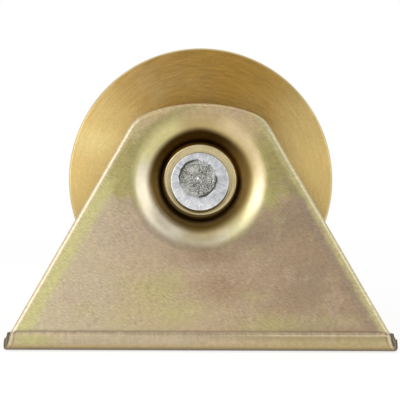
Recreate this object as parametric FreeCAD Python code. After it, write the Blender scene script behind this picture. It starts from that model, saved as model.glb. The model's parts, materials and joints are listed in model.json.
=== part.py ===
# Sliding gate wheel in a folded sheet bracket, standing on its base with the wheel at the top.
# Units are millimetres. X runs along the bracket, Y along the axle, and Z up.
# The origin is the centre of the base's underside. The front of the bracket is at -Y.
import FreeCAD
import Part
import math
import os

from FreeCAD import Vector

# Bracket: one blank, folded up on both sides of its base
BASE_LENGTH = 147.2
SHEET = 4.0
BEND_INSIDE_RADIUS = 2.0
EDGE_ROLLOVER = 1.6
CROWN_RADIUS = 56.4
CROWN_HALF_WIDTH = 23.9
CROWN_MARGIN = 2.4
SHOULDER_RADIUS = 12.5

# Ears: the ends of the two bends, where the outer skin is drawn back and the inner skin bulges
EAR_RISE = 1.3
EAR_CORNER_RADIUS = 4.0
EAR_SETBACK = 2.3
EAR_SLANT = 0.43
EAR_LEAN = 0.2
EAR_EDGE_RADIUS = 0.8

# Crease that the press leaves where each side turns into its bend
CREASE_RISE = 1.5
CREASE_WIDTH = 1.2
CREASE_DEPTH = 0.14

# Dish pressed into each side round the axle
DISH_DEPTH = 8.5
DISH_WALL_ANGLE = 50.0
DISH_SHOULDER_RADIUS = 10.0
DISH_FLOOR_RADIUS = 1.0
DISH_CREVICE = 0.1
DISH_RIM_FLAT = 0.2

# Fixing holes in the base
BOLT_HOLE_DIAMETER = 9.0
BOLT_HOLE_TO_END = 13.6
BOLT_HOLE_TO_SIDE = 10.0

# Wheel: turned steel with a V groove for an angle-iron track
WHEEL_DIAMETER = 100.0
SEAT_WALL = 4.0
FLANGE_LAND = 2.0
GROOVE_ANGLE = 90.0
GROOVE_ROOT_FLAT = 2.0
GROOVE_ROOT_RADIUS = 0.8
FLANGE_CHAMFER = 0.6
LAND_CHAMFER = 0.4
SEAT_LIP = 3.0
SEAT_CHAMFER = 0.5
WHEEL_SIDE_GAP = 1.5
WHEEL_FLOOR_GAP = 9.1

# Ball bearing in the wheel: a common deep-groove size with a metal shield on each side
BEARING_BORE = 20.0
BEARING_OUTSIDE = 47.0
BEARING_WIDTH = 14.0
BEARING_CORNER = 0.8
BALL_DIAMETER = 7.938
BALL_COUNT = 8
BALL_CLEARANCE = 0.02
RACEWAY_RADIUS_SHARE = 0.52
RACEWAY_DEPTH = 1.6
SEAT_FIT = 0.01

# Cage: two pressed halves held together by rivets between the balls
CAGE_SHEET = 0.7
CAGE_SIDE_GAP = 0.75
CAGE_BALL_GAP = 0.12
CAGE_RIVET_DIAMETER = 1.2
CAGE_RIVET_HEAD = 0.35
CAGE_RIVET_HEAD_OVERHANG = 0.3
CAGE_RIVET_GAP = 0.02

# Shields, pressed into a groove in the outer ring
SHIELD_SHEET = 0.4
SHIELD_INSET = 0.8
SHIELD_GROOVE_DEPTH = 1.0
SHIELD_RUNNING_GAP = 0.35
SHIELD_JOGGLE = 0.5
SHIELD_JOGGLE_WIDTH = 2.0
SHIELD_FIT = 0.02

# Retaining ring behind the bearing
RETAINER_SHEET = 1.75
RETAINER_GROOVE_DEPTH = 1.25
RETAINER_GROOVE_GAP = 0.1
RETAINER_FIT = 0.02
RETAINER_RADIAL_WIDTH = 4.4
RETAINER_TIP_WIDTH = 2.9
RETAINER_LUG_RADIUS = 2.9
RETAINER_LUG_HOLE = 2.5
RETAINER_LUG_ANGLE = 17.0
RETAINER_GAP_ANGLE = 8.0

# Axle: a plain pin riveted over a washer at each end
PIN_FIT = 0.02
SPACER_WALL = 3.5
SPACER_CHAMFER = 0.5
WASHER_RIM = 3.75
WASHER_THICKNESS = 2.0
WASHER_EDGE_RADIUS = 0.9
WASHER_COUNTERSINK = 0.7
RIVET_HEAD_RISE = 1.1
RIVET_HEAD_OVERHANG = 0.8
RIVET_HEAD_EDGE = 0.35
RIVET_CORE_LAND = 3.7
RIVET_CORE_DEPTH = 0.3

# Sizes that follow from the ones above
BEND_OUTSIDE_RADIUS = BEND_INSIDE_RADIUS + SHEET
EAR_HEIGHT = BEND_OUTSIDE_RADIUS + EAR_RISE
HALF_BASE = BASE_LENGTH / 2

WHEEL_RADIUS = WHEEL_DIAMETER / 2
WHEEL_WIDTH = BEARING_WIDTH + 2 * SEAT_WALL
AXLE_HEIGHT = SHEET + WHEEL_FLOOR_GAP + WHEEL_RADIUS

DISH_FLOOR_Y = WHEEL_WIDTH / 2 + WHEEL_SIDE_GAP
HALF_WIDTH = DISH_FLOOR_Y + SHEET + DISH_DEPTH
INSIDE_HALF_WIDTH = HALF_WIDTH - SHEET

PIN_RADIUS = BEARING_BORE / 2 - PIN_FIT
WASHER_RADIUS = BEARING_BORE / 2 + WASHER_RIM
DISH_FLOOR_FLAT = WASHER_RADIUS + DISH_CREVICE
WASHER_Y = DISH_FLOOR_Y + SHEET
RIVET_Y = WASHER_Y + WASHER_THICKNESS

PITCH_RADIUS = (BEARING_BORE + BEARING_OUTSIDE) / 4
BALL_RADIUS = BALL_DIAMETER / 2
RACEWAY_RADIUS = RACEWAY_RADIUS_SHARE * BALL_DIAMETER
INNER_RACE_BOTTOM = PITCH_RADIUS - BALL_RADIUS - BALL_CLEARANCE
OUTER_RACE_BOTTOM = PITCH_RADIUS + BALL_RADIUS + BALL_CLEARANCE
INNER_SHOULDER = INNER_RACE_BOTTOM + RACEWAY_DEPTH
OUTER_SHOULDER = OUTER_RACE_BOTTOM - RACEWAY_DEPTH
SHIELD_SEAT = OUTER_SHOULDER + SHIELD_GROOVE_DEPTH
BALL_STEP = 360.0 / BALL_COUNT

Y_AXIS = Vector(0, 1, 0)
AXLE = Vector(0, 0, AXLE_HEIGHT)
TINY = 1e-6
ON_FACE = 1e-3


def corner_arc(before, corner, after, radius):
    """Tangent points and middle of the arc that rounds a corner between two straight runs."""
    back = (before - corner).normalize()
    ahead = (after - corner).normalize()
    half_turn = back.getAngle(ahead) / 2
    to_tangent = radius / math.tan(half_turn)
    bisector = (back + ahead).normalize()
    centre = corner + bisector * (radius / math.sin(half_turn))
    start = corner + back * to_tangent
    end = corner + ahead * to_tangent
    return start, centre - bisector * radius, end


def rounded_face(points):
    """Face inside a closed outline. Each point is a Vector and the radius that rounds it, or 0."""
    count = len(points)
    stretches = []
    for i, (corner, radius) in enumerate(points):
        if radius > 0:
            before = points[i - 1][0]
            after = points[(i + 1) % count][0]
            stretches.append(corner_arc(before, corner, after, radius))
        else:
            stretches.append((corner,))
    edges = []
    for i, stretch in enumerate(stretches):
        if len(stretch) == 3:
            edges.append(Part.Arc(*stretch).toShape())
        start = stretch[-1]
        end = stretches[(i + 1) % count][0]
        if start.distanceToPoint(end) > TINY:
            edges.append(Part.LineSegment(start, end).toShape())
    return Part.Face(Part.Wire(edges))


def beside_axle(radius, y):
    """Point at a radius straight above the axle line."""
    return Vector(0, y, AXLE_HEIGHT + radius)


def turned(profile):
    """Solid turned about the axle from (radius, y, corner radius) points."""
    face = rounded_face([(beside_axle(r, y), corner) for r, y, corner in profile])
    return face.revolve(AXLE, Y_AXIS, 360)


def tube(inside, outside, low, high):
    """Plain ring round the axle between two values of y."""
    return turned([(inside, low, 0), (outside, low, 0), (outside, high, 0), (inside, high, 0)])


def disc(radius, low, high):
    """Plain cylinder on the axle between two values of y."""
    return Part.makeCylinder(radius, high - low, Vector(0, low, AXLE_HEIGHT), Y_AXIS)


def mirrored(shape):
    """The same piece on the other side of the bracket."""
    return shape.mirror(Vector(0, 0, 0), Y_AXIS)


def about_axle(shape, angle):
    """A copy turned about the axle by an angle in degrees."""
    copy = shape.copy()
    copy.rotate(AXLE, Y_AXIS, angle)
    return copy


def crown_corner_height():
    """Height at which a side's straight edge would meet the arc of its crown."""
    sagitta = CROWN_RADIUS - math.sqrt(CROWN_RADIUS**2 - CROWN_HALF_WIDTH**2)
    return plate_top() - sagitta


def plate_top():
    return AXLE_HEIGHT + dish_rim_radius() + CROWN_MARGIN


def dish_wall_run():
    """Length of the dish's straight wall between its two rounded corners."""
    angle = math.radians(DISH_WALL_ANGLE)
    rounded = (DISH_SHOULDER_RADIUS + DISH_FLOOR_RADIUS) * (1 - math.cos(angle))
    return (DISH_DEPTH - rounded) / math.sin(angle)


def dish_rim_radius():
    """Radius at which the dish leaves the flat of the side."""
    angle = math.radians(DISH_WALL_ANGLE)
    corners = (DISH_SHOULDER_RADIUS + DISH_FLOOR_RADIUS) * math.sin(angle)
    return DISH_FLOOR_FLAT + corners + dish_wall_run() * math.cos(angle)


def dish():
    """Front dish, one sheet thick all through, open at the axle."""
    angle = math.radians(DISH_WALL_ANGLE)
    turn = math.tan(angle / 2)
    rim = dish_rim_radius()
    hole = BEARING_BORE / 2
    outer_face = -HALF_WIDTH
    inner_face = outer_face + SHEET
    outer_floor = outer_face + DISH_DEPTH
    inner_floor = inner_face + DISH_DEPTH
    shoulder = DISH_SHOULDER_RADIUS
    floor = DISH_FLOOR_RADIUS
    # The same two bends seen from the outside and, one sheet further in, from the wheel's side
    return turned(
        [
            (rim + DISH_RIM_FLAT, outer_face, 0),
            (rim - shoulder * turn, outer_face, shoulder),
            (DISH_FLOOR_FLAT + floor * turn, outer_floor, floor),
            (hole, outer_floor, 0),
            (hole, inner_floor, 0),
            (DISH_FLOOR_FLAT + (floor + SHEET) * turn, inner_floor, floor + SHEET),
            (rim - (shoulder - SHEET) * turn, inner_face, shoulder - SHEET),
            (rim + DISH_RIM_FLAT, inner_face, 0),
        ]
    )


def side_blank():
    """Front side above its bend: straight edges up to an arched crown, with a rounded outer edge."""
    corner_x = CROWN_HALF_WIDTH
    corner_z = crown_corner_height()
    ear_x = ear_face_x(HALF_WIDTH, EAR_HEIGHT)
    lean = (ear_x - corner_x) / (corner_z - EAR_HEIGHT)
    foot_z = BEND_OUTSIDE_RADIUS
    foot_x = ear_x + lean * (EAR_HEIGHT - foot_z)
    foot_left, foot_right, corner_left, corner_right = (
        Vector(x, -HALF_WIDTH, z)
        for x, z in (
            (-foot_x, foot_z),
            (foot_x, foot_z),
            (-corner_x, corner_z),
            (corner_x, corner_z),
        )
    )
    top = Vector(0, -HALF_WIDTH, plate_top())
    outline = Part.Wire(
        [
            Part.LineSegment(foot_right, foot_left).toShape(),
            Part.LineSegment(foot_left, corner_left).toShape(),
            Part.Arc(corner_left, top, corner_right).toShape(),
            Part.LineSegment(corner_right, foot_right).toShape(),
        ]
    )
    blank = Part.Face(outline).extrude(Vector(0, SHEET, 0))
    corners = [
        e
        for e in blank.Edges
        if abs(e.BoundBox.XLength) < TINY
        and abs(e.BoundBox.ZLength) < TINY
        and e.BoundBox.ZMin > AXLE_HEIGHT
    ]
    blank = blank.makeFillet(SHOULDER_RADIUS, corners)
    outline_edges = [
        e
        for e in blank.Edges
        if e.BoundBox.YMax < -HALF_WIDTH + TINY and e.BoundBox.ZMax > foot_z + TINY
    ]
    return blank.makeFillet(EDGE_ROLLOVER, outline_edges)


def channel():
    """Base and both bends, up to the tops of the ears, folded from one sheet."""
    outside = [
        (Vector(0, -HALF_WIDTH, EAR_HEIGHT), 0),
        (Vector(0, -HALF_WIDTH, 0), BEND_OUTSIDE_RADIUS),
        (Vector(0, HALF_WIDTH, 0), BEND_OUTSIDE_RADIUS),
        (Vector(0, HALF_WIDTH, EAR_HEIGHT), 0),
    ]
    inside = [
        (Vector(0, INSIDE_HALF_WIDTH, EAR_HEIGHT), 0),
        (Vector(0, INSIDE_HALF_WIDTH, SHEET), BEND_INSIDE_RADIUS),
        (Vector(0, -INSIDE_HALF_WIDTH, SHEET), BEND_INSIDE_RADIUS),
        (Vector(0, -INSIDE_HALF_WIDTH, EAR_HEIGHT), 0),
    ]
    section = rounded_face(outside + inside)
    section.translate(Vector(-HALF_BASE, 0, 0))
    solid = section.extrude(Vector(BASE_LENGTH, 0, 0))
    end_edges = [
        e
        for e in solid.Edges
        if e.BoundBox.XLength < TINY
        and e.BoundBox.ZMin < TINY
        and e.BoundBox.YLength > INSIDE_HALF_WIDTH
    ]
    solid = solid.makeFillet(EDGE_ROLLOVER, end_edges)
    side_view = rounded_face(
        [
            (Vector(-HALF_BASE, -HALF_WIDTH, 0), 0),
            (Vector(HALF_BASE, -HALF_WIDTH, 0), 0),
            (Vector(HALF_BASE, -HALF_WIDTH, EAR_HEIGHT), EAR_CORNER_RADIUS),
            (Vector(-HALF_BASE, -HALF_WIDTH, EAR_HEIGHT), EAR_CORNER_RADIUS),
        ]
    )
    solid = solid.common(side_view.extrude(Vector(0, 2 * HALF_WIDTH, 0)))
    solid = solid.cut([ear_bevel(end, side) for end in (-1, 1) for side in (-1, 1)]).Solids[0]
    return solid.makeFillet(EAR_EDGE_RADIUS, ear_skin_edges(solid))


def ear_face_x(y, z):
    """Distance from the middle to the slanted end face of a bend, at a distance y from the middle."""
    return HALF_BASE - EAR_SETBACK + EAR_SLANT * (HALF_WIDTH - y) - EAR_LEAN * z


def ear_bevel(end, side):
    """Cutter for one end of a bend. The outer skin ends short of the inner one, more so higher up."""
    outside = HALF_WIDTH + SHEET
    far = HALF_BASE + EAR_LEAN * EAR_HEIGHT + SHEET
    depth = (far - ear_face_x(HALF_WIDTH, 0)) / EAR_SLANT
    plan = rounded_face(
        [
            (Vector(end * far, side * (HALF_WIDTH - depth), 0), 0),
            (Vector(end * far, side * outside, 0), 0),
            (Vector(end * ear_face_x(outside, 0), side * outside, 0), 0),
        ]
    )
    return plan.extrude(Vector(-end * EAR_LEAN * EAR_HEIGHT, 0, EAR_HEIGHT))


def ear_skin_edges(solid):
    """Edges along which the slanted end faces meet the outer skin."""
    centre_y = HALF_WIDTH - BEND_OUTSIDE_RADIUS
    edges = []
    for e in solid.Edges:
        middle = e.valueAt((e.FirstParameter + e.LastParameter) / 2)
        y = abs(middle.y)
        on_face = abs(abs(middle.x) - ear_face_x(y, middle.z)) < ON_FACE
        from_centre = math.hypot(y - centre_y, middle.z - BEND_OUTSIDE_RADIUS)
        on_bend = abs(from_centre - BEND_OUTSIDE_RADIUS) < ON_FACE
        on_side = abs(y - HALF_WIDTH) < ON_FACE
        if on_face and (on_bend or on_side):
            edges.append(e)
    return edges


def crease():
    """Cutter for the shallow line pressed along the front side just above its bend."""
    half = CREASE_WIDTH / 2
    radius = (half**2 + CREASE_DEPTH**2) / (2 * CREASE_DEPTH)
    y = -HALF_WIDTH + CREASE_DEPTH - radius
    z = BEND_OUTSIDE_RADIUS + CREASE_RISE
    return Part.makeCylinder(radius, BASE_LENGTH, Vector(-HALF_BASE, y, z), Vector(1, 0, 0))


def bolt_holes():
    """Four round holes through the base, clear of the wheel, where bolts go in from inside."""
    x = HALF_BASE - BOLT_HOLE_TO_END
    y = INSIDE_HALF_WIDTH - BOLT_HOLE_TO_SIDE
    holes = []
    for across in (-x, x):
        for along in (-y, y):
            foot = Vector(across, along, -SHEET)
            holes.append(Part.makeCylinder(BOLT_HOLE_DIAMETER / 2, 3 * SHEET, foot))
    return holes


def bracket():
    """Folded sheet bracket, with the dishes that carry the axle."""
    side = side_blank()
    rim = dish_rim_radius() + DISH_RIM_FLAT
    side = side.cut(disc(rim, -HALF_WIDTH - SHEET, -INSIDE_HALF_WIDTH + SHEET))
    side = side.fuse(dish())
    folded = channel().fuse([side, mirrored(side)]).removeSplitter()
    return folded.cut(bolt_holes() + [crease(), mirrored(crease())])


def wheel():
    """Turned wheel with its V groove, bearing seat and the groove for the retaining ring."""
    half = WHEEL_WIDTH / 2
    seat = BEARING_OUTSIDE / 2
    stop = BEARING_WIDTH / 2
    groove_half = half - FLANGE_LAND
    root_half = GROOVE_ROOT_FLAT / 2
    flank = math.tan(math.radians(GROOVE_ANGLE / 2))
    root = WHEEL_RADIUS - (groove_half - root_half) / flank
    retainer_end = stop + RETAINER_SHEET + RETAINER_GROOVE_GAP
    retainer_root = seat + RETAINER_GROOVE_DEPTH
    chamfer = FLANGE_CHAMFER
    land = LAND_CHAMFER
    lip = seat - SEAT_LIP
    mouth = SEAT_CHAMFER
    return turned(
        [
            (lip, -half, 0),
            (WHEEL_RADIUS - chamfer, -half, 0),
            (WHEEL_RADIUS, -half + chamfer, 0),
            (WHEEL_RADIUS, -groove_half - land, 0),
            (WHEEL_RADIUS - land, -groove_half + land * flank, 0),
            (root, -root_half, GROOVE_ROOT_RADIUS),
            (root, root_half, GROOVE_ROOT_RADIUS),
            (WHEEL_RADIUS - land, groove_half - land * flank, 0),
            (WHEEL_RADIUS, groove_half + land, 0),
            (WHEEL_RADIUS, half - chamfer, 0),
            (WHEEL_RADIUS - chamfer, half, 0),
            (seat + mouth, half, 0),
            (seat, half - mouth, 0),
            (seat, retainer_end, 0),
            (retainer_root, retainer_end, 0),
            (retainer_root, stop, 0),
            (seat, stop, 0),
            (seat, -stop, 0),
            (lip, -stop, 0),
        ]
    )


def raceway(centre_radius):
    """Ring of the groove that the balls run in, to cut from a bearing ring."""
    face_centre = beside_axle(centre_radius, 0)
    circle = Part.Circle(face_centre, Vector(1, 0, 0), RACEWAY_RADIUS)
    face = Part.Face(Part.Wire([circle.toShape()]))
    return face.revolve(AXLE, Y_AXIS, 360)


def bearing_inner_ring():
    half = BEARING_WIDTH / 2
    bore = BEARING_BORE / 2
    corner = BEARING_CORNER
    body = turned(
        [
            (bore, -half, corner),
            (INNER_SHOULDER, -half, corner / 2),
            (INNER_SHOULDER, half, corner / 2),
            (bore, half, corner),
        ]
    )
    return body.cut(raceway(INNER_RACE_BOTTOM + RACEWAY_RADIUS))


def bearing_outer_ring():
    half = BEARING_WIDTH / 2
    outside = BEARING_OUTSIDE / 2 - SEAT_FIT
    corner = BEARING_CORNER
    shelf = half - SHIELD_INSET - SHIELD_SHEET
    body = turned(
        [
            (SHIELD_SEAT, -half, 0),
            (outside, -half, corner),
            (outside, half, corner),
            (SHIELD_SEAT, half, 0),
            (SHIELD_SEAT, shelf, 0),
            (OUTER_SHOULDER, shelf, 0),
            (OUTER_SHOULDER, -shelf, 0),
            (SHIELD_SEAT, -shelf, 0),
        ]
    )
    return body.cut(raceway(OUTER_RACE_BOTTOM - RACEWAY_RADIUS))


def front_shield():
    """Thin pressed ring that stands in the outer ring and stops just short of the inner one."""
    face = -BEARING_WIDTH / 2 + SHIELD_INSET
    inner = INNER_SHOULDER + SHIELD_RUNNING_GAP
    outer = SHIELD_SEAT - SHIELD_FIT
    step = inner + SHIELD_JOGGLE_WIDTH
    slope = SHIELD_JOGGLE
    raised = face - SHIELD_JOGGLE
    sheet = SHIELD_SHEET
    return turned(
        [
            (inner, raised, 0),
            (step, raised, 0),
            (step + slope, face, 0),
            (outer, face, 0),
            (outer, face + sheet, 0),
            (step + slope, face + sheet, 0),
            (step, raised + sheet, 0),
            (inner, raised + sheet, 0),
        ]
    )


def ball(number):
    solid = Part.makeSphere(BALL_RADIUS, beside_axle(PITCH_RADIUS, 0))
    return about_axle(solid, number * BALL_STEP)


def cage_front_half():
    """Pressed ring with a pocket round the front of each ball and a flat pad between them."""
    inner = INNER_SHOULDER + CAGE_SIDE_GAP
    outer = OUTER_SHOULDER - CAGE_SIDE_GAP
    pocket = BALL_RADIUS + CAGE_BALL_GAP
    pocket_outside = pocket + CAGE_SHEET
    centre = beside_axle(PITCH_RADIUS, 0)
    cup = Part.makeSphere(pocket_outside, centre)
    cup = cup.common(tube(inner, outer, -pocket_outside - CAGE_SHEET, 0))
    hollow = Part.makeSphere(pocket, centre)
    rivet_hole = rivet_bar(CAGE_RIVET_DIAMETER / 2 + CAGE_RIVET_GAP)
    half = tube(inner, outer, -CAGE_SHEET, 0)
    half = half.fuse([about_axle(cup, i * BALL_STEP) for i in range(BALL_COUNT)])
    cutters = [about_axle(hollow, i * BALL_STEP) for i in range(BALL_COUNT)]
    cutters += [about_axle(rivet_hole, (i + 0.5) * BALL_STEP) for i in range(BALL_COUNT)]
    return half.cut(cutters).removeSplitter()


def rivet_bar(radius):
    """Straight bar through both cage halves, above the axle."""
    foot = beside_axle(PITCH_RADIUS, -CAGE_SHEET)
    return Part.makeCylinder(radius, 2 * CAGE_SHEET, foot, Y_AXIS)


def cage_rivets():
    """Small headed rivets that hold the two halves together, one between each pair of balls."""
    head_radius = CAGE_RIVET_DIAMETER / 2 + CAGE_RIVET_HEAD_OVERHANG
    shank = rivet_bar(CAGE_RIVET_DIAMETER / 2)
    heads = [
        Part.makeCylinder(head_radius, CAGE_RIVET_HEAD, beside_axle(PITCH_RADIUS, y), Y_AXIS)
        for y in (-CAGE_SHEET - CAGE_RIVET_HEAD, CAGE_SHEET)
    ]
    rivet = shank.fuse(heads).removeSplitter()
    return Part.makeCompound(
        [about_axle(rivet, (i + 0.5) * BALL_STEP) for i in range(BALL_COUNT)]
    )


def retaining_ring():
    """Open spring ring, wider opposite its gap, with two lugs that are pierced for pliers."""
    low = BEARING_WIDTH / 2
    outside = BEARING_OUTSIDE / 2 + RETAINER_GROOVE_DEPTH - RETAINER_FIT
    shift = (RETAINER_RADIAL_WIDTH - RETAINER_TIP_WIDTH) / 2
    inside = outside - (RETAINER_RADIAL_WIDTH + RETAINER_TIP_WIDTH) / 2
    ring = disc(outside, low, low + RETAINER_SHEET)
    eye = disc(inside, low - RETAINER_SHEET, low + 2 * RETAINER_SHEET)
    eye.translate(Vector(0, 0, -shift))
    seat = BEARING_OUTSIDE / 2
    lug_radius = seat - RETAINER_LUG_RADIUS - RETAINER_GROOVE_GAP
    lugs = []
    holes = []
    for angle in (-RETAINER_LUG_ANGLE, RETAINER_LUG_ANGLE):
        foot = Vector(0, low, AXLE_HEIGHT - lug_radius)
        lug = Part.makeCylinder(RETAINER_LUG_RADIUS, RETAINER_SHEET, foot, Y_AXIS)
        hole = Part.makeCylinder(RETAINER_LUG_HOLE / 2, RETAINER_SHEET, foot, Y_AXIS)
        lugs.append(about_axle(lug, angle))
        holes.append(about_axle(hole, angle))
    gap_reach = outside + RETAINER_SHEET
    half_gap = math.radians(RETAINER_GAP_ANGLE)
    gap = rounded_face(
        [
            (Vector(0, low, AXLE_HEIGHT), 0),
            (Vector(-gap_reach * math.tan(half_gap), low, AXLE_HEIGHT - gap_reach), 0),
            (Vector(gap_reach * math.tan(half_gap), low, AXLE_HEIGHT - gap_reach), 0),
        ]
    ).extrude(Vector(0, RETAINER_SHEET, 0))
    return ring.cut(eye).fuse(lugs).cut(holes + [gap]).removeSplitter()


def front_spacer():
    """Short sleeve between the dish and the bearing's inner ring."""
    inside = BEARING_BORE / 2
    outside = inside + SPACER_WALL
    body = turned(
        [
            (inside, -DISH_FLOOR_Y, 0),
            (outside - SPACER_CHAMFER, -DISH_FLOOR_Y, 0),
            (outside, -DISH_FLOOR_Y + SPACER_CHAMFER, 0),
            (outside, -BEARING_WIDTH / 2 - SPACER_CHAMFER, 0),
            (outside - SPACER_CHAMFER, -BEARING_WIDTH / 2, 0),
            (inside, -BEARING_WIDTH / 2, 0),
        ]
    )
    return body


def front_washer():
    """Thick washer with rounded edges, countersunk for the riveted end of the axle."""
    bore = BEARING_BORE / 2
    sink = WASHER_COUNTERSINK
    return turned(
        [
            (bore, -WASHER_Y, 0),
            (WASHER_RADIUS, -WASHER_Y, 0),
            (WASHER_RADIUS, -RIVET_Y, WASHER_EDGE_RADIUS),
            (bore + sink, -RIVET_Y, 0),
            (bore, -RIVET_Y + sink, 0),
        ]
    )


def axle_pin():
    """Axle with a riveted head at each end: a pressed rim round the untouched core of the bar."""
    head = BEARING_BORE / 2 + RIVET_HEAD_OVERHANG
    sink = WASHER_COUNTERSINK - PIN_FIT
    top = RIVET_Y + RIVET_HEAD_RISE
    core = head - RIVET_CORE_LAND
    floor = top - RIVET_CORE_DEPTH
    waist = RIVET_Y - sink
    return turned(
        [
            (0, -floor, 0),
            (core - RIVET_CORE_DEPTH, -floor, 0),
            (core, -top, 0),
            (head, -top, RIVET_HEAD_EDGE),
            (head, -RIVET_Y, 0),
            (PIN_RADIUS + sink, -RIVET_Y, 0),
            (PIN_RADIUS, -waist, 0),
            (PIN_RADIUS, waist, 0),
            (PIN_RADIUS + sink, RIVET_Y, 0),
            (head, RIVET_Y, 0),
            (head, top, RIVET_HEAD_EDGE),
            (core, top, 0),
            (core - RIVET_CORE_DEPTH, floor, 0),
            (0, floor, 0),
        ]
    )


def all_pieces():
    """Every piece by name, each in its place in the assembled wheel."""
    pieces = {
        "bracket": bracket(),
        "axle_pin": axle_pin(),
        "front_washer": front_washer(),
        "rear_washer": mirrored(front_washer()),
        "front_spacer": front_spacer(),
        "rear_spacer": mirrored(front_spacer()),
        "wheel": wheel(),
        "bearing_inner_ring": bearing_inner_ring(),
        "bearing_outer_ring": bearing_outer_ring(),
        "front_shield": front_shield(),
        "rear_shield": mirrored(front_shield()),
        "cage_front_half": cage_front_half(),
        "cage_rear_half": mirrored(cage_front_half()),
        "cage_rivets": cage_rivets(),
        "retaining_ring": retaining_ring(),
    }
    for number in range(BALL_COUNT):
        pieces[f"ball_{number + 1}"] = ball(number)
    return pieces


def main():
    os.makedirs("parts", exist_ok=True)
    for name, shape in all_pieces().items():
        shape.exportStep(f"parts/{name}.step")
        box = shape.BoundBox
        size = f"{box.XLength:.1f} x {box.YLength:.1f} x {box.ZLength:.1f}"
        print(f"{name}: {len(shape.Solids)} solid, {shape.Volume:.1f} mm3, {size}, valid {shape.isValid()}")


main()
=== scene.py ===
import json
import math

import bpy
import numpy as np
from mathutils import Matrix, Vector


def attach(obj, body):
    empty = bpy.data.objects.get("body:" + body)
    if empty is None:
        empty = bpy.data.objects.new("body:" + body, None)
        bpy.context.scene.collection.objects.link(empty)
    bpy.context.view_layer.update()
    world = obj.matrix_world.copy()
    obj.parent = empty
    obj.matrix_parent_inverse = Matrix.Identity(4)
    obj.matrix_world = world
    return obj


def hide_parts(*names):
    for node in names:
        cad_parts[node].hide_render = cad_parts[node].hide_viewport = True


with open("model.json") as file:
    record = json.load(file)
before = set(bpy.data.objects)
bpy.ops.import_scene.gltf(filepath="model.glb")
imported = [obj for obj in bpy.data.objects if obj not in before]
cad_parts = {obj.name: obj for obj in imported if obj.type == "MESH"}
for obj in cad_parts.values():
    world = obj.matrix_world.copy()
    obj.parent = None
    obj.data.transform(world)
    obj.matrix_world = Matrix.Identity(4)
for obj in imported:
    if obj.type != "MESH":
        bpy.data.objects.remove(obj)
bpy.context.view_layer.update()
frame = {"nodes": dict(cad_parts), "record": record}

MM = 0.001
AXLE_HEIGHT = 63.1

# The photograph's view: a little right of the axle and above it
CAMERA_PLACE = Vector((7.18, -370.0, 69.1)) * MM
CAMERA_TARGET = Vector((0.20, -25.0, 56.32)) * MM
LENS = 85.25
SENSOR = 36.0

# Studio: softboxes at this distance, the dim room, and the floor's glow and reach in metres
SOFTBOX_DISTANCE = 1.0
ROOM_LIGHT = 0.42
FLOOR_GLOW = 0.74
FLOOR_HALF_SIDE = 12.0
FLOOR_WHITE_FROM = 0.25
FLOOR_WHITE_TO = 0.6
WHITE = (1.0, 1.0, 1.0)

# Bracket: its sides, their slanted edges, the lines of its bends by height, and the bends' cut ends
HALF_WIDTH = 25.0
LEG_FOOT = 74.07
LEG_LEAN = 0.581
BEND_TOP = 8.0
CREASE_LINE = 8.1
GLINT_LINE = 6.75
EAR_FOOT = 71.3
EAR_SLANT = 0.43
EAR_LEAN = 0.2

# Wheel
WHEEL_RADIUS = 50.0
WHEEL_HALF_WIDTH = 11.0
GROOVE_ROOT = 42.0
SEAT_LIP = 20.5
BEARING_SEAT = 23.5
BEARING_HALF_WIDTH = 7.0
RING_GROOVE = 24.75
RING_GROOVE_END = 8.85

# Axle pin and washers
PIN_RADIUS = 9.98
PIN_FLARE = 0.68
WASHER_BORE = 10.0
WASHER_RADIUS = 13.75
WASHER_FLOOR = 16.5
WASHER_FACE = 18.5
WASHER_SINK = 0.7
HEAD_RADIUS = 10.8
HEAD_TOP = 19.6
HEAD_CORE = 7.1
HEAD_DROP = 0.2
CORE_ASIDE = -0.7
CORE_RISE = 1.15
FACE_PITCH = 0.11
ARC_POINTS = 7

# Clouds on the bracket's sides: x, z, half width, half height, strength and tint
SIDE_CLOUDS = [
    (-14.0, -48.0, 30.0, 8.0, 0.8, (0.51, 0.44, 0.21)),
    (-16.0, -40.0, 20.0, 10.0, 0.9, (0.49, 0.42, 0.19)),
    (26.0, -52.0, 20.0, 7.0, 0.8, (0.45, 0.38, 0.18)),
    (50.0, -51.0, 26.0, 5.0, 0.8, (0.42, 0.36, 0.19)),
    (3.0, -27.0, 22.0, 9.0, 0.9, (0.33, 0.23, 0.15)),
    (8.0, -38.0, 20.0, 11.0, 0.85, (0.375, 0.26, 0.16)),
    (20.0, -20.0, 16.0, 9.0, 0.8, (0.31, 0.23, 0.155)),
    (34.0, -14.0, 12.0, 9.0, 0.7, (0.31, 0.23, 0.155)),
    (-22.0, -19.0, 20.0, 11.0, 0.8, (0.45, 0.345, 0.25)),
    (-26.0, -7.5, 8.0, 6.0, 0.6, (0.36, 0.29, 0.18)),
    (-40.0, -42.0, 14.0, 12.0, 0.6, (0.51, 0.41, 0.28)),
    (41.0, -38.0, 15.0, 14.0, 0.6, (0.335, 0.25, 0.17)),
]

# Clouds on the wheel's faces, with the same columns: a painted highlight at the left, and painted shade at
# the upper left and on top
WHEEL_HIGHLIGHT_AND_SHADE = [
    (-40.0, 15.0, 16.0, 9.0, 0.8, (0.68, 0.535, 0.235)),
    (-22.0, 38.0, 18.0, 16.0, 0.6, (0.45, 0.31, 0.135)),
    (20.0, 39.0, 22.0, 14.0, 0.6, (0.44, 0.25, 0.045)),
]

# Smear and two folded flaps of paler metal in the core of a riveted head, with the same columns
CORE_CLOUDS = [
    (-2.6, 4.2, 2.6, 1.8, 0.7, (0.56, 0.54, 0.48)),
    (-4.9, -3.2, 2.0, 2.8, 0.5, (0.62, 0.62, 0.56)),
    (4.9, 2.4, 1.3, 3.4, 0.5, (0.62, 0.62, 0.56)),
]


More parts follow.
